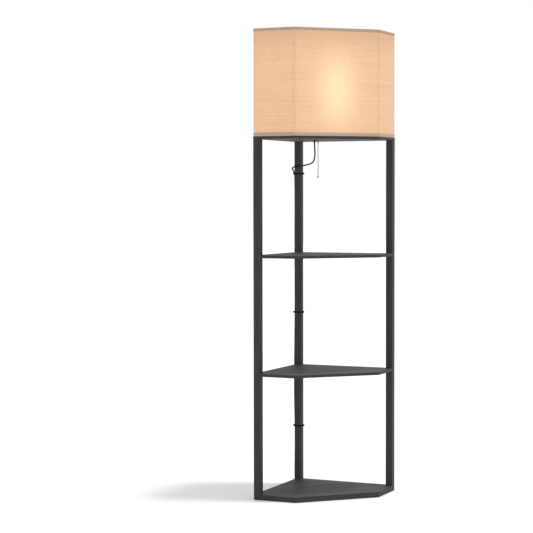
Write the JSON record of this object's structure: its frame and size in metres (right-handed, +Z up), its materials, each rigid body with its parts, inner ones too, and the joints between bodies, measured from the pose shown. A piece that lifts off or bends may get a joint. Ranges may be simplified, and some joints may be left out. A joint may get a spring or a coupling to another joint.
{
  "type": "shelf floor lamp",
  "caption": "Corner shelf floor lamp: square black posts, five-sided shelves and base, and a five-sided fabric shade with a pull-chain lamp holder inside.",
  "frame": {"origin": "middle of the lamp's footprint, at floor level", "axes": "+Z up; -Y towards the front, the long cut-off face; +X to the right seen from the front; the room's corner is at +Y"},
  "size_m": [0.526, 0.4904, 1.6],
  "materials": {
    "black_wood": "black painted wood, satin",
    "dowel_wood": "bare beech",
    "steel": "zinc plated",
    "felt": "pressed felt",
    "shade_fabric": "beige slub linen on a liner",
    "trim_fabric": "folded fabric tape",
    "painted_wire": "black powder coat",
    "black_plastic": "moulded phenolic",
    "brass": "drawn",
    "card": "insulating card",
    "nickel": "nickel plated",
    "cord_rubber": "black cord jacket",
    "tie_nylon": "black nylon",
    "white_plastic": "moulded",
    "opal_plastic": "opal diffuser",
    "aluminium": "plain"
  },
  "bodies": {
    "lamp": {"left_post": "black_wood", "back_post": "black_wood", "right_post": "black_wood", "base_board": "black_wood", "lower_shelf": "black_wood", "upper_shelf": "black_wood", "lamp_deck": "black_wood", "base_screws": "steel", "base_dowels": "dowel_wood", "lower_shelf_screws": "steel", "lower_shelf_dowels": "dowel_wood", "upper_shelf_screws": "steel", "upper_shelf_dowels": "dowel_wood", "deck_screws": "steel", "floor_glides": "felt", "shade_fabric": "shade_fabric", "shade_bottom_trim": "trim_fabric", "shade_top_trim": "trim_fabric", "shade_fitter_ring": "painted_wire", "shade_top_ring": "painted_wire", "shade_struts": "painted_wire", "shade_ring_nut": "black_plastic", "holder_foot": "black_plastic", "holder_stem": "brass", "holder_cap": "black_plastic", "holder_shell": "black_plastic", "pull_switch": "black_plastic", "centre_contact": "brass", "insulating_sleeve": "card", "screw_shell": "brass", "inner_wires": "cord_rubber", "clamp_plate": "painted_wire", "holder_screws": "steel", "cord_grommet": "cord_rubber", "chain_guide": "nickel", "chain_eyelet": "nickel", "power_cord": "cord_rubber", "cord_hank": "cord_rubber", "cord_tail": "cord_rubber", "hank_tie": "tie_nylon", "plug_body": "cord_rubber", "plug_blades": "steel", "upper_cable_tie": "tie_nylon", "middle_cable_tie": "tie_nylon", "lower_cable_tie": "tie_nylon"},
    "pull_chain": {"chain_upper": "nickel"},
    "chain_connector": {"chain_connector": "nickel"},
    "chain_end": {"chain_lower": "nickel", "chain_bell": "nickel"},
    "bulb": {"bulb_contact": "brass", "bulb_cap": "nickel", "bulb_housing": "white_plastic", "bulb_led_board": "aluminium", "bulb_globe": "opal_plastic"}
  },
  "joints": [
    {"name": "pull_chain_slide", "type": "slide", "parent": "lamp", "child": "pull_chain", "axis": [0, 0, -1], "range_m": [0, 0.008], "stiffness_N_per_m": 1000, "springref_m": -0.002},
    {"name": "chain_sway_front_back", "type": "hinge", "parent": "pull_chain", "child": "chain_connector", "pos_m": [0, -0.01335, 1.2245], "axis": [1, 0, 0], "range_deg": [-30, 20]},
    {"name": "chain_swing_sideways", "type": "hinge", "parent": "chain_connector", "child": "chain_end", "pos_m": [0, -0.01335, 1.2155], "axis": [0, 1, 0], "range_deg": [-30, 30]},
    {"name": "bulb_turn", "type": "hinge", "parent": "lamp", "child": "bulb", "pos_m": [0, 0.02015, 1.3163], "axis": [0, 0, 1], "range_deg": [0, 1080]}
  ]
}
